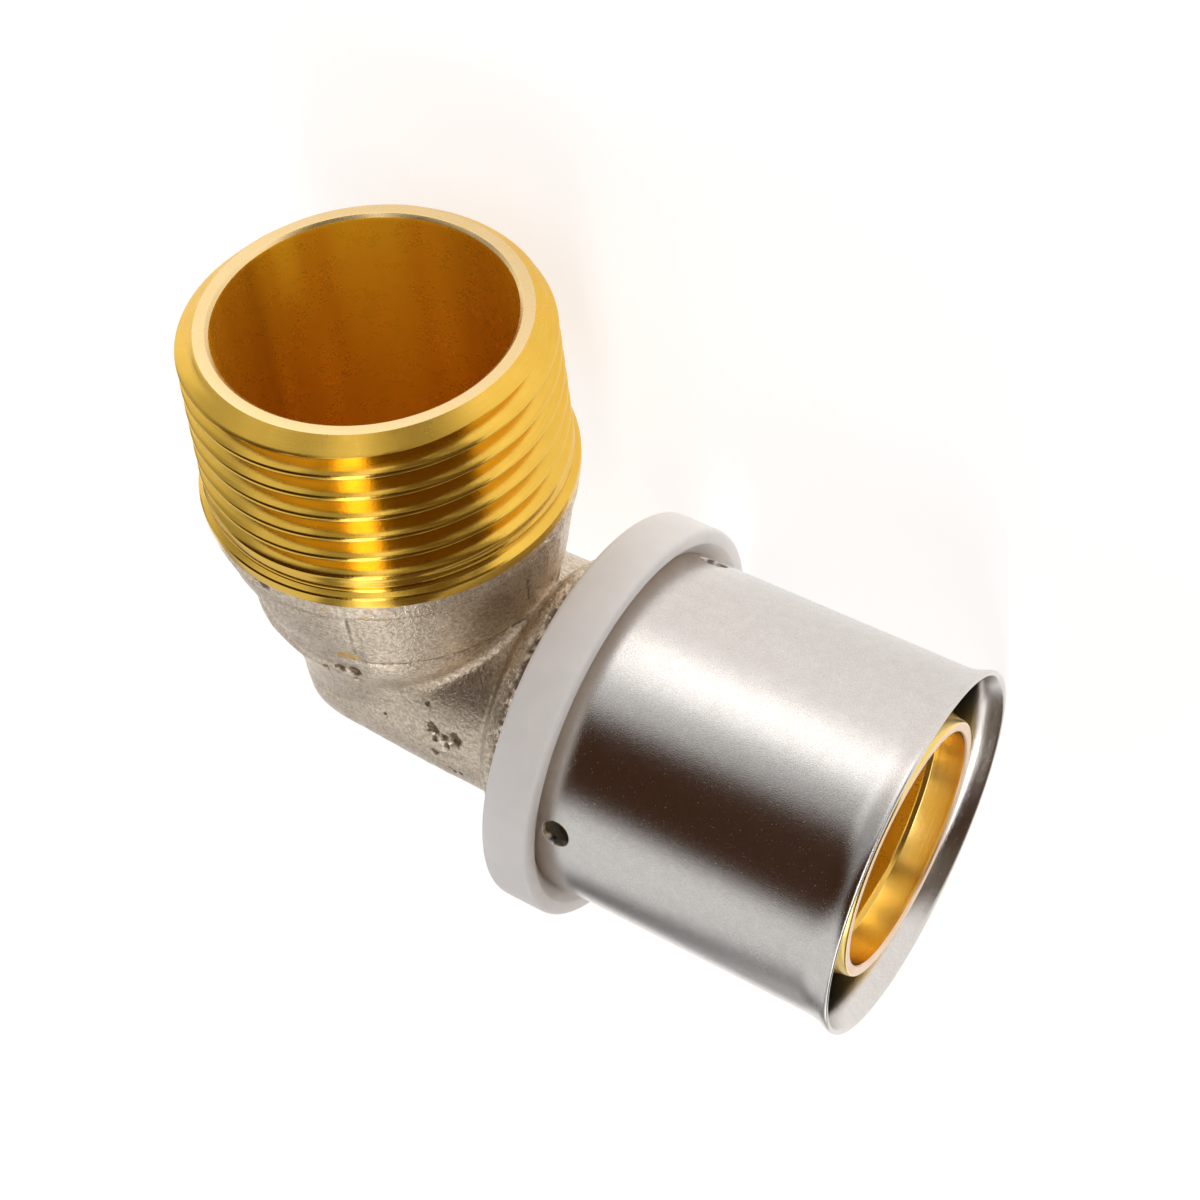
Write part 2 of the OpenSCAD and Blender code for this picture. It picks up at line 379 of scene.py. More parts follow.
def thread_part(n=180):
    u = []
    for k in range(9):
        for a in (0, 0.08, 0.15, 0.22, 0.34, 0.46, 0.58, 0.6865, 0.74, 0.785, 0.825, 0.866, 0.907, 0.948, 0.989, 1.029, 1.074, 1.1275, 1.24, 1.36, 1.48, 1.594, 1.66, 1.74):
            u.append(k * PITCH + a)
    u = np.array(u + [9 * PITCH])
    m = (len(u) - 1) // 9
    phi = np.arange(n) * 2 * math.pi / n
    Y = ROOT_Y + u[:, None] - PITCH * phi[None, :] / (2 * math.pi)
    depth = np.repeat(thread_outline(u)[:, None], n, 1)
    fade = smoothstep(18.9, 20.6, Y)  # the last turn runs out towards the rim
    depth = depth * (0.02 + 0.98 * fade)
    crest = 13.06 - (Y - 19.3) * (0.46 / 11.0)
    R = np.minimum(crest + depth, thread_limit(np.clip(Y, 18.3, FACE_Y)))
    Yc = np.clip(Y, 18.46, FACE_Y)
    R = np.where(Y > FACE_Y, 11.24, R)
    V = np.stack([R * np.cos(phi), Yc, R * np.sin(phi)], -1).reshape(-1, 3)
    rows = len(u)
    faces = []
    j = np.arange(n - 1)
    for i in range(rows - 1):
        a = i * n + j
        faces.append(np.stack([a + n, a + n + 1, a + 1, a], 1))
    # the seam: at a full turn the rows have moved by one pitch
    # and row i at the last column meets row i - m at the first one
    i = np.arange(m, rows - 1)
    a, d = i * n + n - 1, (i + 1) * n + n - 1
    b, c = (i - m) * n, (i - m + 1) * n
    faces.append(np.stack([d, c, b, a], 1))
    return weld(V, np.concatenate(faces), 2e-3)


thread = thread_part()
rim = turned(rounded([(11.0, 18.46), (12.92, 18.46), (12.95, 18.26), (13.34, 18.06), (13.44, 17.94), (13.44, 17.2), (13.36, 17.12), (13.0, 17.12)],
                     [0.1, 0.15, 0.1, 0.06, 0.05, 0.04], 3)[::-1], "y", 288)
mouth = turned(rounded([(11.24, FACE_Y), (11.2, FACE_Y), (10.45, FACE_Y), (10.2, 30.82), (10.17, 30.6), (10.17, 22), (10.17, 13.1)],
                       [0.02, 0.1, 0.08, 0.3, 0.1], 4), "y", 240)
neck = turned([(9.9, 15.2), (9.9, 15.8), (9.9, 16.4), (9.9, 16.95)], "x", 240)
spigot = turned([(9.9, 16.95), (9.45, 17.2), (9.45, 18.2), (9.9, 18.4), (9.9, 24.9), (9.85, 24.95), (9.0, 24.95), (8.95, 25.0), (8.95, 26.8),
                 (9.0, 26.85), (9.85, 26.85), (9.9, 26.9), (9.9, 31.9), (9.85, 31.95), (9.0, 31.95), (8.95, 32.0), (8.95, 33.8), (9.0, 33.85),
                 (9.85, 33.85), (9.9, 33.9), (9.9, 40.4), (9.87, 40.5), (9.72, 41.1), (9.62, 41.55), (9.55, 41.64), (9.45, 41.66)], "x", 240)
spigot_end = turned([(9.45, 41.66), (9.2, 41.66), (8.98, 41.66), (8.88, 41.60), (8.82, 41.48)], "x", 240)
insert = turned([(8.82, 41.48), (8.81, 41.3), (8.81, 39.32), (8.79, 39.26), (8.72, 39.22), (8.27, 39.08), (8.21, 39.04), (8.2, 38.96)], "x", 240)
drilled = turned([(8.2, 38.96), (8.2, 30.0), (8.2, 20.0), (8.2, 12.7)], "x", 240)

# ---------------------------------------------------------------- materials

class Nodes:
    """Short calls for building a node tree."""

    def __init__(s, tree):
        s.t = tree
        s.t.nodes.clear()

    def new(s, kind, **kw):
        n = s.t.nodes.new(kind)
        for k, v in kw.items():
            setattr(n, k, v)
        return n

    def put(s, socket, value):
        if isinstance(value, bpy.types.NodeSocket):
            s.t.links.new(value, socket)
        else:
            socket.default_value = value

    def math(s, op, a, b=None, c=None, clamp=False):
        n = s.new("ShaderNodeMath", operation=op, use_clamp=clamp)
        for k, v in enumerate((a, b, c)):
            if v is not None:
                s.put(n.inputs[k], v)
        return n.outputs[0]

    def step(s, lo, hi, v):
        n = s.new("ShaderNodeMapRange", interpolation_type="SMOOTHSTEP")
        s.put(n.inputs["Value"], v)
        n.inputs["From Min"].default_value = lo
        n.inputs["From Max"].default_value = hi
        return n.outputs[0]

    def mapped(s, v, a, b, c, d):
        n = s.new("ShaderNodeMapRange")
        s.put(n.inputs["Value"], v)
        for k, w in zip(("From Min", "From Max", "To Min", "To Max"), (a, b, c, d)):
            n.inputs[k].default_value = w
        return n.outputs[0]

    def mix(s, f, a, b, kind="MIX"):
        n = s.new("ShaderNodeMix", data_type="RGBA", blend_type=kind)
        s.put(n.inputs[0], f)
        s.put(n.inputs[6], a if isinstance(a, bpy.types.NodeSocket) else (*a, 1))
        s.put(n.inputs[7], b if isinstance(b, bpy.types.NodeSocket) else (*b, 1))
        return n.outputs[2]

    def object_mm(s):
        """Place on the object in millimetres."""
        c = s.new("ShaderNodeTexCoord")
        n = s.new("ShaderNodeVectorMath", operation="SCALE")
        s.t.links.new(c.outputs["Object"], n.inputs[0])
        n.inputs["Scale"].default_value = 1000
        return n.outputs[0]

    def xyz(s, v):
        n = s.new("ShaderNodeSeparateXYZ")
        s.put(n.inputs[0], v)
        return n.outputs[0], n.outputs[1], n.outputs[2]

    def vec(s, x, y, z):
        n = s.new("ShaderNodeCombineXYZ")
        for k, v in enumerate((x, y, z)):
            s.put(n.inputs[k], v)
        return n.outputs[0]

    def noise(s, v, scale, detail=2.0, rough=0.5, w=None):
        n = s.new("ShaderNodeTexNoise")
        s.put(n.inputs["Vector"], v)
        n.inputs["Scale"].default_value = scale
        n.inputs["Detail"].default_value = detail
        n.inputs["Roughness"].default_value = rough
        return n.outputs["Fac"]

    def bump(s, height, strength, distance, normal=None):
        n = s.new("ShaderNodeBump")
        n.inputs["Strength"].default_value = strength
        n.inputs["Distance"].default_value = distance
        s.put(n.inputs["Height"], height)
        if normal is not None:
            s.put(n.inputs["Normal"], normal)
        return n.outputs[0]

    def near(s, v, centre, lo, hi):
        """1 at a place, 0 beyond hi millimetres from it."""
        n = s.new("ShaderNodeVectorMath", operation="DISTANCE")
        s.put(n.inputs[0], v)
        n.inputs[1].default_value = centre
        return s.math("SUBTRACT", 1.0, s.step(lo, hi, n.outputs["Value"]))

    def spots(s, v, places):
        """Ragged spots: 1 inside, 0 outside, for [(place, radius)] in mm."""
        rag = s.math("MULTIPLY", s.math("SUBTRACT", s.noise(v, 3.2, 3.0, 0.7), 0.5), 1.6)
        out = None
        for c, r in places:
            n = s.new("ShaderNodeVectorMath", operation="DISTANCE")
            s.put(n.inputs[0], v)
            n.inputs[1].default_value = c
            f = s.math("SUBTRACT", 1.0, s.step(0.65, 1.25, s.math("ADD", s.math("DIVIDE", n.outputs["Value"], r), rag)))
            out = f if out is None else s.math("MAXIMUM", out, f)
        return out

    def segment(s, v, a, b, lo, hi):
        """1 on the line from a to b, 0 beyond hi millimetres from it."""
        a, b = Vector(a), Vector(b)
        d = b - a
        n = s.new("ShaderNodeVectorMath", operation="SUBTRACT")
        s.put(n.inputs[0], v)
        n.inputs[1].default_value = a
        m = s.new("ShaderNodeVectorMath", operation="DOT_PRODUCT")
        s.put(m.inputs[0], n.outputs[0])
        m.inputs[1].default_value = d / d.length_squared
        t = s.math("ADD", m.outputs["Value"], 0.0, clamp=True)
        k = s.new("ShaderNodeVectorMath", operation="SCALE")
        k.inputs[0].default_value = d
        s.put(k.inputs["Scale"], t)
        e = s.new("ShaderNodeVectorMath", operation="DISTANCE")
        s.put(e.inputs[0], n.outputs[0])
        s.put(e.inputs[1], k.outputs[0])
        return s.math("SUBTRACT", 1.0, s.step(lo, hi, e.outputs["Value"]))


def material(name, **sockets):
    m = bpy.data.materials.new(name)
    m.use_nodes = True
    g = Nodes(m.node_tree)
    bsdf = g.new("ShaderNodeBsdfPrincipled")
    out = g.new("ShaderNodeOutputMaterial")
    g.t.links.new(bsdf.outputs[0], out.inputs[0])
    for k, v in sockets.items():
        g.put(bsdf.inputs[k.replace("_", " ")], v)
    return m, g, bsdf


def turned_brass(name, axis, colour, dark, rough, lines=1.0, aniso=0.7, stain=0.25, specks=()):
    """Bare brass with the fine lines that a lathe leaves round its axis."""
    m, g, b = material(name, Metallic=1.0, Anisotropic=aniso)
    p = g.object_mm()
    x, y, z = g.xyz(p)
    if axis == "y":
        r = g.math("SQRT", g.math("ADD", g.math("MULTIPLY", x, x), g.math("MULTIPLY", z, z)))
        along = y
        tangent = g.vec(x, g.math("MULTIPLY", r, -1.0), z)
    else:
        r = g.math("SQRT", g.math("ADD", g.math("MULTIPLY", y, y), g.math("MULTIPLY", z, z)))
        along = x
        tangent = g.vec(g.math("MULTIPLY", r, -1.0), y, z)
    g.put(b.inputs["Tangent"], tangent)
    # lines: noise that runs fast across the lathe marks and slowly along them
    fine = g.noise(g.vec(g.math("MULTIPLY", x, 0.12), g.math("MULTIPLY", g.math("ADD", along, g.math("MULTIPLY", r, 1.37)), 9.0), g.math("MULTIPLY", z if axis == "y" else y, 0.12)), 1.0, 3.0, 0.6)
    coarse = g.noise(g.vec(g.math("MULTIPLY", x, 0.05), g.math("MULTIPLY", g.math("ADD", along, g.math("MULTIPLY", r, 0.9)), 2.3), g.math("MULTIPLY", z if axis == "y" else y, 0.05)), 1.0, 2.0, 0.5)
    blot = g.noise(p, 0.55, 3.0, 0.6)
    grain = g.noise(p, 6.0, 2.0, 0.6)
    c = g.mix(g.mapped(blot, 0.35, 0.75, 0.0, stain), colour, dark)
    c = g.mix(g.mapped(fine, 0.35, 0.7, 0.0, 0.22 * lines), c, dark)
    if specks:
        c = g.mix(g.spots(p, specks), c, (0.10, 0.045, 0.015))
    g.put(b.inputs["Base Color"], c)
    g.put(b.inputs["Roughness"], g.math("ADD", g.mapped(blot, 0.3, 0.7, rough * 0.85, rough * 1.2), g.mapped(grain, 0.3, 0.7, -0.02, 0.03)))
    h = g.math("ADD", g.math("MULTIPLY", fine, 0.6), g.math("MULTIPLY", coarse, 0.9))
    n = g.bump(h, 0.35 * lines, 0.00002)
    n = g.bump(grain, 0.12, 0.00002, n)
    g.put(b.inputs["Normal"], n)
    return m, g, b


BRASS = (0.84, 0.535, 0.09)
BRASS_DARK = (0.72, 0.39, 0.035)
brass_thread, g, b = turned_brass("brass_thread", "y", BRASS, BRASS_DARK, 0.16, 1.1, 0.35,
                                  specks=[((-0.11, 27.48, 12.9), 0.22), ((0.9, 28.85, 12.87), 0.24), ((0.6, 28.9, 12.87), 0.16), ((-3.34, 29.43, 12.04), 0.16), ((-1.31, 28.79, 12.73), 0.10),
                                          ((-8.2, 26.6, -9.4), 0.2), ((9.1, 22.5, -8.7), 0.22)])
# the lead-in chamfer is rougher than the thread
lead = g.math("MULTIPLY", g.step(30.0, 30.2, g.xyz(g.object_mm())[1]), 0.13)
g.put(b.inputs["Roughness"], g.math("ADD", b.inputs["Roughness"].links[0].from_socket, lead))
brass_face, g, b = turned_brass("brass_mouth_face", "y", (0.82, 0.63, 0.35), BRASS, 0.26, 0.8, 0.4, 0.2)
brass_bore, g, b = turned_brass("brass_bore", "y", (1.0, 0.56, 0.02), (0.98, 0.50, 0.012), 0.28, 0.15, 0.3, 0.05)
# long bright streaks in the bore are painted highlights, and the darker zones round it are painted shade
x, y, z = g.xyz(g.object_mm())
turn = g.math("MULTIPLY", g.math("ARCTAN2", z, x), 57.29578)
painted_highlight_streak = g.math("MULTIPLY", g.step(-146, -136, turn), g.step(-106, -119, turn))
thin_painted_highlight = g.math("MULTIPLY", g.math("MULTIPLY", g.step(-168, -162, turn), g.step(-152, -158, turn)), g.step(24, 28, y))
painted_highlight_streak = g.math("MAXIMUM", painted_highlight_streak, thin_painted_highlight)
painted_shade_zone = g.math("MAXIMUM", g.math("MULTIPLY", g.step(-102, -76, turn), g.step(20, -40, turn)), g.math("MAXIMUM", g.step(130, 152, turn), g.step(-170, -179, turn)))
wavy = g.math("MULTIPLY", g.math("SUBTRACT", g.noise(g.vec(g.math("MULTIPLY", x, 0.5), g.math("MULTIPLY", y, 0.06), g.math("MULTIPLY", z, 0.5)), 1.0, 2.0, 0.5), 0.5), 0.3)
shade = g.math("ADD", g.math("ADD", g.math("SUBTRACT", 0.03, g.math("MULTIPLY", painted_highlight_streak, 0.03)), g.math("MULTIPLY", painted_shade_zone, 0.42)), wavy, clamp=True)
g.put(b.inputs["Base Color"], g.mix(shade, b.inputs["Base Color"].links[0].from_socket, (0.40, 0.105, 0.001)))
# the painted highlight streaks also take Metallic down, which lights them up further
g.put(b.inputs["Metallic"], g.math("SUBTRACT", 0.40, g.math("MULTIPLY", painted_highlight_streak, 0.30)))
brass_insert, g, b = turned_brass("brass_insert", "x", (0.91, 0.68, 0.24), (0.78, 0.52, 0.10), 0.19, 0.8, 0.4, 0.1)
brass_end, g, b = turned_brass("brass_spigot_end", "x", (0.86, 0.66, 0.50), (0.70, 0.48, 0.30), 0.38, 0.5, 0.3, 0.2)

# blasted nickel plate over forged brass, worn through to the brass in a few small spots
nickel, g, b = material("nickel_blasted", Metallic=0.95)
p = g.object_mm()
x, y, z = g.xyz(p)
sand = g.noise(p, 3.6, 3.0, 0.65)
fine = g.noise(p, 8.0, 2.0, 0.6)
big = g.noise(p, 0.42, 3.0, 0.6)
tint = g.mix(g.mapped(big, 0.3, 0.7, 0.0, 1.0), (0.96, 0.85, 0.70), (0.88, 0.75, 0.59))
tint = g.mix(g.mapped(sand, 0.36, 0.62, 0.75, 0.0), tint, (0.42, 0.33, 0.24))
tint = g.mix(g.mapped(fine, 0.35, 0.6, 0.35, 0.0), tint, (0.45, 0.36, 0.27))
# darker spots in the pits and under the turned rim; the mask later also takes painted shade along the creases and next
# to the ring
dark_marks_and_shade = g.spots(p, [((1.91, 7.34, 10.99), 0.42), ((3.11, 7.40, 10.71), 0.52), ((2.81, 6.06, 10.42), 0.40), ((0.7, 6.8, 11.0), 0.3), ((7.92, 2.05, 8.96), 0.62), ((8.13, 1.10, 9.22), 0.34),
                   ((8.96, 1.72, 9.11), 0.42), ((9.17, 0.94, 9.26), 0.32), ((9.91, 1.99, 8.96), 0.68), ((7.95, -0.5, 9.30), 0.34), ((9.05, -2.26, 9.05), 0.40), ((9.85, -2.15, 9.11), 0.26),
                   ((3.54, 1.02, 9.12), 0.17), ((7.31, 3.84, 8.45), 0.24), ((-1.1, 16.76, 13.18), 0.5), ((-1.9, 16.95, 13.1), 0.3)])
dark_marks_and_shade = g.math("MULTIPLY", dark_marks_and_shade, g.mapped(sand, 0.3, 0.55, 0.55, 0.95))
# painted shade: thin dark lines along the creases, a crack and a ridge of the collar, and along the edges of the
# spanner faces
crease_painted_shade = g.math("MAXIMUM", g.segment(p, (12.63, 13.96, 2.13), (12.32, 11.65, 1.82), 0.03, 0.13), g.segment(p, (12.32, 11.65, 1.82), (12.16, 9.85, 1.2), 0.02, 0.14))
crease_painted_shade = g.math("MAXIMUM", crease_painted_shade, g.segment(p, (1.04, 8.0, 11.45), (-0.2, 3.6, 9.9), 0.02, 0.13))
crease_painted_shade = g.math("MAXIMUM", crease_painted_shade, g.segment(p, (4.75, 15.2, 12.1), (4.1, 10.4, 11.3), 0.02, 0.22))
rt = g.math("SQRT", g.math("ADD", g.math("MULTIPLY", x, x), g.math("MULTIPLY", z, z)))
turn = g.math("DIVIDE", x, g.math("MAXIMUM", rt, 0.1))
on_face = g.math("MULTIPLY", g.math("MULTIPLY", g.step(0.33, 0.40, turn), g.step(0.993, 0.985, turn)), g.step(12.5, 12.2, x))
line_lo = g.math("SUBTRACT", 1.0, g.step(0.03, 0.14, g.math("ABSOLUTE", g.math("SUBTRACT", y, 9.42))))
line_hi = g.math("SUBTRACT", 1.0, g.step(0.02, 0.12, g.math("ABSOLUTE", g.math("SUBTRACT", y, 15.47))))
crease_painted_shade = g.math("MAXIMUM", crease_painted_shade, g.math("MULTIPLY", on_face, g.math("MAXIMUM", line_lo, g.math("MULTIPLY", line_hi, 0.8))))
dark_marks_and_shade = g.math("MAXIMUM", dark_marks_and_shade, g.math("MULTIPLY", crease_painted_shade, 0.55))
# painted shade: the valley between the two tubes is painted darker
valley_painted_shade = g.math("MAXIMUM", g.segment(p, (5.6, 4.9, 8.7), (10.6, 7.6, 6.4), 0.2, 2.2), g.segment(p, (10.6, 7.6, 6.4), (11.7, 12.4, 4.7), 0.4, 2.9))
valley_painted_shade = g.math("MAXIMUM", valley_painted_shade, g.math("MULTIPLY", g.segment(p, (9.5, 5.6, 8.2), (11.9, 6.4, 7.6), 0.4, 2.8), 0.9))
valley_painted_shade = g.math("MAXIMUM", valley_painted_shade, g.math("MULTIPLY", g.segment(p, (11.6, 13.0, 5.0), (11.0, 10.0, 5.6), 0.6, 2.6), 0.95))
tint = g.mix(g.math("MULTIPLY", valley_painted_shade, g.mapped(sand, 0.3, 0.65, 0.90, 0.40)), tint, (0.33, 0.255, 0.18))
rust = g.math("MULTIPLY", g.step(16.86, 17.1, y), g.step(0.47, 0.56, g.noise(p, 1.3, 3.0, 0.7)))
dark_marks_and_shade = g.math("MAXIMUM", dark_marks_and_shade, g.math("MULTIPLY", rust, 0.8))
# painted shade: mottled darkening of the bead towards the ring
dark_marks_and_shade = g.math("MAXIMUM", dark_marks_and_shade, g.math("MULTIPLY", g.math("MULTIPLY", g.step(13.45, 14.1, x), g.step(0.60, 0.42, g.noise(p, 1.5, 3.0, 0.65))), 0.9))
tint = g.mix(dark_marks_and_shade, tint, (0.14, 0.095, 0.055))
bare = g.spots(p, [((3.62, 9.98, 11.32), 0.52), ((3.30, 10.02, 11.44), 0.55), ((2.98, 10.14, 11.56), 0.42), ((0.55, 15.67, 13.19), 0.10), ((3.52, 16.25, 12.73), 0.16),
                   ((5.98, 15.92, 11.77), 0.13), ((6.25, 15.95, 11.6), 0.10), ((7.32, 15.79, 10.97), 0.13)])
bare = g.math("MAXIMUM", bare, g.math("MULTIPLY", g.near(p, (1.84, 15.56, 13.06), 0.16, 0.3), 0.45))
tint = g.mix(bare, tint, (0.80, 0.50, 0.14))
g.put(b.inputs["Base Color"], tint)
g.put(b.inputs["Roughness"], g.math("ADD", g.mapped(sand, 0.3, 0.7, 0.40, 0.26), g.math("MULTIPLY", dark_marks_and_shade, 0.3)))
h = g.math("ADD", g.math("MULTIPLY", sand, 1.0), g.math("MULTIPLY", fine, 0.5))
rough_cast = g.math("MULTIPLY", g.noise(p, 1.9, 3.0, 0.6), g.step(12.5, 13.2, x))
h = g.math("ADD", h, g.math("MULTIPLY", rough_cast, 2.2))
g.put(b.inputs["Normal"], g.bump(h, 0.55, 0.00012))

# satin stainless sheet
steel, g, b = material("steel_satin", Metallic=1.0)
p = g.object_mm()
x, y, z = g.xyz(p)
speck = g.noise(p, 15.0, 2.0, 0.6)
soft = g.noise(p, 1.1, 3.0, 0.6)
tint = g.mix(g.mapped(soft, 0.3, 0.7, 0.0, 1.0), (0.78, 0.755, 0.73), (0.72, 0.695, 0.665))
tint = g.mix(g.mapped(speck, 0.35, 0.65, 0.45, 0.0), tint, (0.46, 0.415, 0.38))
# a warmer, duller band where the sleeve comes out of the ring
beige = g.math("MULTIPLY", g.step(20.9, 19.6, x), g.mapped(soft, 0.3, 0.7, 0.5, 0.9))
tint = g.mix(beige, tint, (0.62, 0.53, 0.44))
g.put(b.inputs["Base Color"], tint)
glint = g.step(0.66, 0.74, g.noise(p, 6.5, 2.0, 0.7))
g.put(b.inputs["Roughness"], g.math("ADD", g.mapped(speck, 0.3, 0.7, 0.20, 0.14), g.math("MULTIPLY", glint, 0.16)))
g.put(b.inputs["Normal"], g.bump(speck, 0.30, 0.000032))

# milky plastic
plastic, g, b = material("plastic_milky", IOR=1.49, Subsurface_Weight=0.6, Subsurface_Scale=0.002)
b.inputs["Subsurface Radius"].default_value = (1.0, 0.9, 0.85)
p = g.object_mm()
cloud = g.noise(p, 0.5, 3.0, 0.55)
skin = g.noise(p, 4.0, 3.0, 0.6)
g.put(b.inputs["Base Color"], g.mix(g.mapped(cloud, 0.3, 0.7, 0.0, 1.0), (0.885, 0.862, 0.85), (0.84, 0.818, 0.806)))
g.put(b.inputs["Roughness"], g.mapped(skin, 0.3, 0.7, 0.34, 0.46))
g.put(b.inputs["Normal"], g.bump(skin, 0.08, 0.0001))

# black seal rubber
rubber, g, b = material("rubber_black", IOR=1.5)
p = g.object_mm()
dust = g.noise(p, 2.0, 3.0, 0.6)
g.put(b.inputs["Base Color"], g.mix(g.mapped(dust, 0.4, 0.75, 0.0, 0.5), (0.012, 0.012, 0.012), (0.05, 0.05, 0.048)))
g.put(b.inputs["Roughness"], g.mapped(dust, 0.3, 0.7, 0.42, 0.62))
g.put(b.inputs["Normal"], g.bump(g.noise(p, 8.0, 2.0, 0.6), 0.15, 0.0001))

# ---------------------------------------------------------------- pieces

body = piece("elbow_body_shell", [(*shell, 0), (*thread, 1), (*rim, 1),
                                  (*mouth, 2), (*inside, 2), (*neck, 0), (*spigot, 4), (*spigot_end, 5), (*insert, 4), (*drilled, 2)],
             [nickel, brass_thread, brass_bore, brass_face, brass_insert, brass_end])
# the flat end of the mouth has its own brighter finish
me = body.data
co = np.empty(len(me.vertices) * 3); me.vertices.foreach_get("co", co); co = co.reshape(-1, 3) / MM
mi = np.empty(len(me.polygons), np.int32); me.polygons.foreach_get("material_index", mi)
cen = np.empty(len(me.polygons) * 3); me.polygons.foreach_get("center", cen); cen = cen.reshape(-1, 3) / MM
mi[(mi == 2) & (cen[:, 1] > 30.84)] = 3
me.polygons.foreach_set("material_index", mi)
me.update()
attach(body, "root"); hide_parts("elbow_body")


def sleeve_parts(n=240, turn=77.2):
    """Sheet sleeve with three round windows. Each window is a ring of quads let into the grid."""
    start = math.radians(turn)
    R, W, X0, HOLE, K = 13.15, 0.6, 20.95, 1.05, 4
    da = 2 * math.pi / n
    cell = R * da
    rows_hole = [X0 + cell * k for k in range(-K, K + 1)]

    def wall(r, out):
        if out:
            outline = [(r, x) for x in [17.4, 18.3, 19.0] + rows_hole + [23.5, 25, 28, 31, 34, 37, 39, 40.1]]
            outline += [(13.16, 40.4), (13.19, 40.7), (13.26, 41.05), (13.37, 41.4), (13.5, 41.72), (13.60, 41.98), (13.645, 42.15), (13.65, 42.26),
                        (13.62, 42.35), (13.55, 42.4), (13.46, 42.4), (13.36, 42.35)]
        else:
            outline = [(r, 17.4), (r, 18.3), (r, 19.0)] + [(r, x) for x in rows_hole] + [(r, x) for x in (23.5, 25, 28, 31, 34, 37, 39, 40.3)]
            outline += [(12.58, 40.7), (12.65, 41.05), (12.77, 41.35), (12.95, 41.68), (13.1, 41.95), (13.22, 42.18), (13.28, 42.28), (13.36, 42.35)]
        return outline

    parts = []
    rings = {}
    for out in (True, False):
        r = R if out else R - W
        outline = wall(r, out)
        phi = start + np.arange(n) * da
        V = np.concatenate([about_x(rr, xx, phi) for rr, xx in outline])
        F = grid_faces(len(outline), n, not out)
        xs = [h for _, h in outline]
        lo_row = next(i for i, v in enumerate(xs) if abs(v - rows_hole[0]) < 1e-6)
        keep = []
        for q, f in enumerate(F):
            i, j = divmod(q, n)
            jj = [(j - c + n // 2) % n - n // 2 for c in (0, n // 3, 2 * n // 3)]
            if lo_row <= i < lo_row + 2 * K and any(-K <= t < K for t in jj):
                continue
            keep.append(f)
        F = np.array(keep)
        parts.append((V, F, 0))
        for hole in range(3):
            c = hole * (n // 3)
            # border of the square, anticlockwise in (u = round the axis, v = along it)
            sq = [(-K + k, -K) for k in range(2 * K)] + [(K, -K + k) for k in range(2 * K)] + [(K - k, K) for k in range(2 * K)] + [(-K, K - k) for k in range(2 * K)]
            m = len(sq)
            lay = []
            for s in (0.0, 0.3, 0.55, 0.75, 0.9, 1.0):
                pts = []
                for (u, v) in sq:
                    a = math.atan2(v, u)
                    rad = HOLE + (0.07 if out else 0.0)
                    cu, cv = rad * math.cos(a), rad * math.sin(a)
                    pu, pv = u * cell * (1 - s) + cu * s, v * cell * (1 - s) + cv * s
                    pts.append((pu, pv))
                pts = np.array(pts)
                lay.append(about_x(r, X0 + pts[:, 1], start + c * da + pts[:, 0] / R))
            if out:
                for drop, rad in ((0.02, 1.07), (0.07, 1.05)):
                    pts = np.array([(rad * math.cos(math.atan2(v, u)), rad * math.sin(math.atan2(v, u))) for u, v in sq])
                    lay.append(about_x(r - drop, X0 + pts[:, 1], start + c * da + pts[:, 0] / R))
                pts = np.array([(1.05 * math.cos(math.atan2(v, u)), 1.05 * math.sin(math.atan2(v, u))) for u, v in sq])
                lay.append(about_x(R - W, X0 + pts[:, 1], start + c * da + pts[:, 0] / R))
            parts.append((np.concatenate(lay), grid_faces(len(lay), m, not out), 0))
    # the back edge, inside the stop ring
    phi = start + np.arange(n) * da
    V = np.concatenate([about_x(R - W, 17.4, phi), about_x(R, 17.4, phi)])
    parts.append((V, grid_faces(2, n, False), 0))
    V, F = [], []
    k = 0
    for v, f, _ in parts:
        V.append(v); F.append(f + k); k += len(v)
    return weld(np.concatenate(V), np.concatenate(F), 1e-3)


sleeve = piece("press_sleeve_sheet", [(*sleeve_parts(), 0)], [steel])
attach(sleeve, "root"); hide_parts("press_sleeve")

ring_profile = rounded([(9.9, 16.9), (9.9, 16.2), (15.3, 16.2), (15.3, 20.0), (14.2, 19.98), (13.2, 19.12), (13.16, 19.05), (12.0, 19.05), (9.9, 19.05), (9.9, 18.42), (9.47, 18.2), (9.47, 17.22), (9.9, 17.0)],
                       [0.02, 0.45, 0.42, 0.22, 0.1, 0.02, 0.02, 0.02, 0.05, 0.05, 0.05], 5)
ring = piece("stop_ring_moulded", [(*turned(ring_profile, "x", 240), 0)], [plastic])
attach(ring, "root"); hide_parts("stop_ring")

for name in ("o_ring_rear", "o_ring_front"):
    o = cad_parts[name]
    o.data.materials.clear()
    o.data.materials.append(rubber)
    for f in o.data.polygons:
        f.use_smooth = True

# ---------------------------------------------------------------- floor, light, camera

FLOOR_Z = cad_lo[2]
floor_mat, g, b = material("floor_pale", Roughness=0.9)
b.inputs["Specular IOR Level"].default_value = 0.1
b.inputs["Emission Color"].default_value = (1.0, 0.995, 0.99, 1)
px, py, pz = g.xyz(g.object_mm())
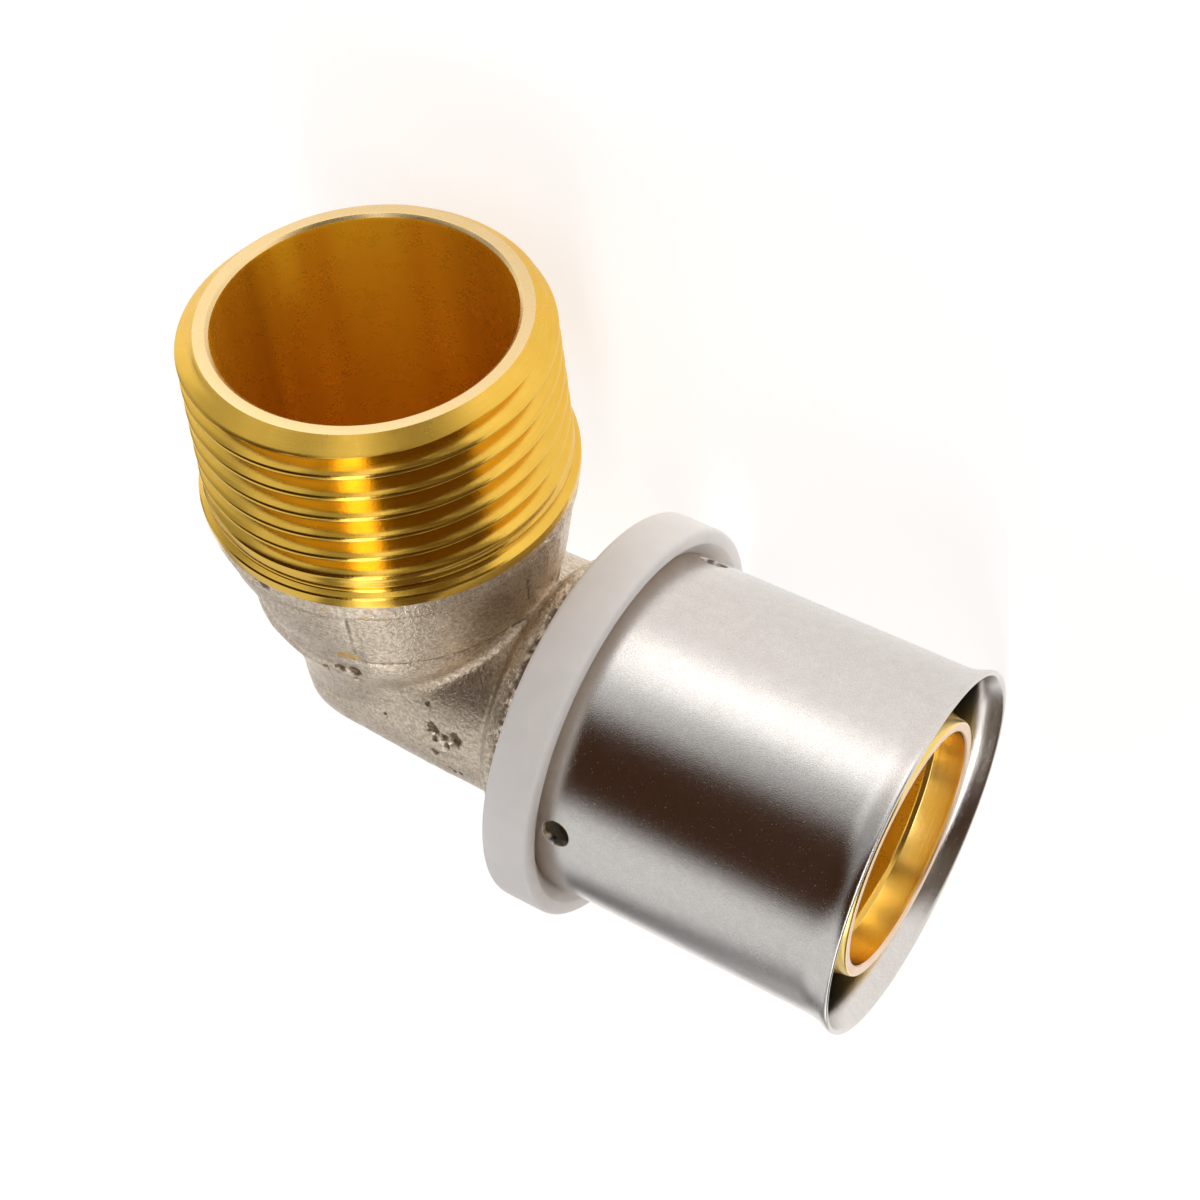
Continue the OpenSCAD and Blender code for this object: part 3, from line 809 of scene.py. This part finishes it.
# the floor glows unevenly: a brighter strip and patch and a darker patch beyond the thread are painted light and
# painted shade, placed to show in the metal's reflections
strip = g.math("MULTIPLY", g.step(38, 8, px), g.step(-120, -85, px))
lit = g.math("ADD", g.mapped(py, -470, -350, 0.10, 0.74), g.math("MULTIPLY", strip, g.math("ADD", g.math("MULTIPLY", g.step(38, 50, py), 0.12), g.math("MULTIPLY", g.step(64, 82, py), 0.62))))
lit = g.math("ADD", lit, g.math("MULTIPLY", g.math("MULTIPLY", g.step(48, 60, py), g.step(84, 72, py)), g.math("MULTIPLY", g.step(20, 40, px), 0.12)))
lit = g.math("SUBTRACT", lit, g.math("MULTIPLY", g.math("MULTIPLY", g.step(120, 200, py), g.step(20, 45, px)), 0.66))
g.put(b.inputs["Emission Strength"], lit)
# painted shade: the floor is darker and browner far off towards -Y and beyond the thread
far_painted_shade = g.math("MAXIMUM", g.step(-400, -560, py), g.math("MULTIPLY", g.step(110, 190, py), g.step(20, 45, px)))
g.put(b.inputs["Base Color"], g.mix(far_painted_shade, (0.52, 0.505, 0.495), (0.22, 0.17, 0.12)))
me = bpy.data.meshes.new("floor")
s = 1.6
me.from_pydata([(-s, -s, FLOOR_Z), (s, -s, FLOOR_Z), (s, s, FLOOR_Z), (-s, s, FLOOR_Z)], [], [(0, 1, 2, 3)])
me.materials.append(floor_mat)
floor = bpy.data.objects.new("floor", me)
bpy.context.scene.collection.objects.link(floor)

world = bpy.data.worlds.new("studio")
bpy.context.scene.world = world
world.use_nodes = True
g = Nodes(world.node_tree)
tc = g.new("ShaderNodeTexCoord")
nrm = g.new("ShaderNodeVectorMath", operation="NORMALIZE")
g.put(nrm.inputs[0], tc.outputs["Generated"])
x, y, z = g.xyz(nrm.outputs[0])
def toward(v):
    n = g.new("ShaderNodeVectorMath", operation="DOT_PRODUCT")
    g.put(n.inputs[0], nrm.outputs[0])
    n.inputs[1].default_value = v
    return n.outputs["Value"]


def band(lo0, lo1, hi0, hi1, v):
    """1 between lo1 and hi0, 0 below lo0 and above hi1, with soft edges."""
    return g.math("MULTIPLY", g.step(lo0, lo1, v), g.step(hi1, hi0, v))


# large soft panel low on the +Y side, weaker upward, with a brighter upright bar in its middle
front = g.step(-0.1, 0.25, y)
dip = g.math("MULTIPLY", band(-0.34, -0.24, -0.10, -0.04, x), g.math("MULTIPLY", g.step(0.5, 0.8, y), g.step(0.12, 0.30, z)))
panel = g.math("SUBTRACT", 1.6, g.math("MULTIPLY", g.step(0.08, 0.26, z), 0.80))
panel = g.math("ADD", panel, g.math("MULTIPLY", dip, -0.42))
panel = g.math("MULTIPLY", panel, g.math("SUBTRACT", 1.0, g.math("MULTIPLY", g.step(-0.56, -0.72, x), 0.50)))
back = g.math("SUBTRACT", 0.80, g.math("MULTIPLY", g.step(0.32, 0.02, z), 0.48))
level = g.math("ADD", g.math("MULTIPLY", panel, front), g.math("MULTIPLY", back, g.math("SUBTRACT", 1.0, front)))
# a darker gap beside the slim lamp, low behind
across = toward((-0.899, 0.149, 0.411))
gap = g.math("MULTIPLY", band(0.14, 0.20, 0.29, 0.37, across), g.step(-0.30, -0.55, y))
level = g.math("MULTIPLY", level, g.math("SUBTRACT", 1.0, g.math("MULTIPLY", gap, 0.70)))
# dark flags: overhead, and the side behind the camera
over = g.math("MULTIPLY", g.step(0.44, 0.62, z), g.step(-0.26, -0.04, y))
slant = g.math("SUBTRACT", x, g.math("MULTIPLY", g.math("MULTIPLY", g.math("SUBTRACT", z, 0.2), 0.45), g.step(0.5, 0.8, y)))
slant = g.math("ADD", slant, g.mapped(y, 0.5, 0.8, -0.09, 0.0))
side = g.math("MULTIPLY", g.math("MULTIPLY", g.step(0.05, 0.17, slant), g.step(-0.05, 0.04, z)), g.math("SUBTRACT", 1.0, g.math("MULTIPLY", g.math("MULTIPLY", g.step(0.5, 0.8, y), g.step(0.18, 0.32, z)), 0.2)))
col = g.mix(side, g.vec(level, level, level), (0.13, 0.095, 0.065))
col = g.mix(over, col, (0.05, 0.020, 0.008))
# a slim bent lamp from behind over the top to the front
slim = g.math("DIVIDE", g.math("SUBTRACT", toward((-0.899, 0.0, 0.438)), 0.1085), g.math("SUBTRACT", 1.0, g.math("MULTIPLY", g.step(0.5, 0.9, y), 0.42)))
lamp = g.math("MULTIPLY", band(-0.17, -0.09, 0.07, 0.15, slim), g.step(0.15, 0.3, z))
power = g.math("SUBTRACT", 3.6, g.math("MULTIPLY", g.step(-0.45, -0.65, y), 2.6))
power = g.math("SUBTRACT", power, g.math("ADD", g.math("MULTIPLY", g.step(-0.12, 0.1, y), 0.3), g.math("MULTIPLY", g.step(0.55, 0.85, y), 2.75)))
lamp = g.math("MULTIPLY", lamp, power)
total = g.new("ShaderNodeVectorMath", operation="ADD")
g.put(total.inputs[0], col)
g.put(total.inputs[1], g.vec(lamp, lamp, lamp))
bg = g.new("ShaderNodeBackground")
g.put(bg.inputs["Color"], total.outputs[0])
bg.inputs["Strength"].default_value = 1.0
wo = g.new("ShaderNodeOutputWorld")
g.t.links.new(bg.outputs[0], wo.inputs[0])

cam_data = bpy.data.cameras.new("camera")
cam_data.lens = 60.354
cam_data.sensor_width = 36
cam_data.clip_start, cam_data.clip_end = 0.01, 20
cam = bpy.data.objects.new("camera", cam_data)
bpy.context.scene.collection.objects.link(cam)
right = Vector((0.84554672, -0.05069119, -0.53148955))
down = Vector((0.37415156, -0.6538878, 0.65760273))
ahead = Vector((-0.3808692, -0.75489148, -0.5339265))
m = Matrix.Identity(4)
for k in range(3):
    m[k][0], m[k][1], m[k][2] = right[k], -down[k], -ahead[k]
m.translation = Vector((69.9437, 117.0616, 74.1193)) * MM
cam.matrix_world = m
bpy.context.scene.camera = cam

bpy.context.scene.view_settings.view_transform = "Standard"
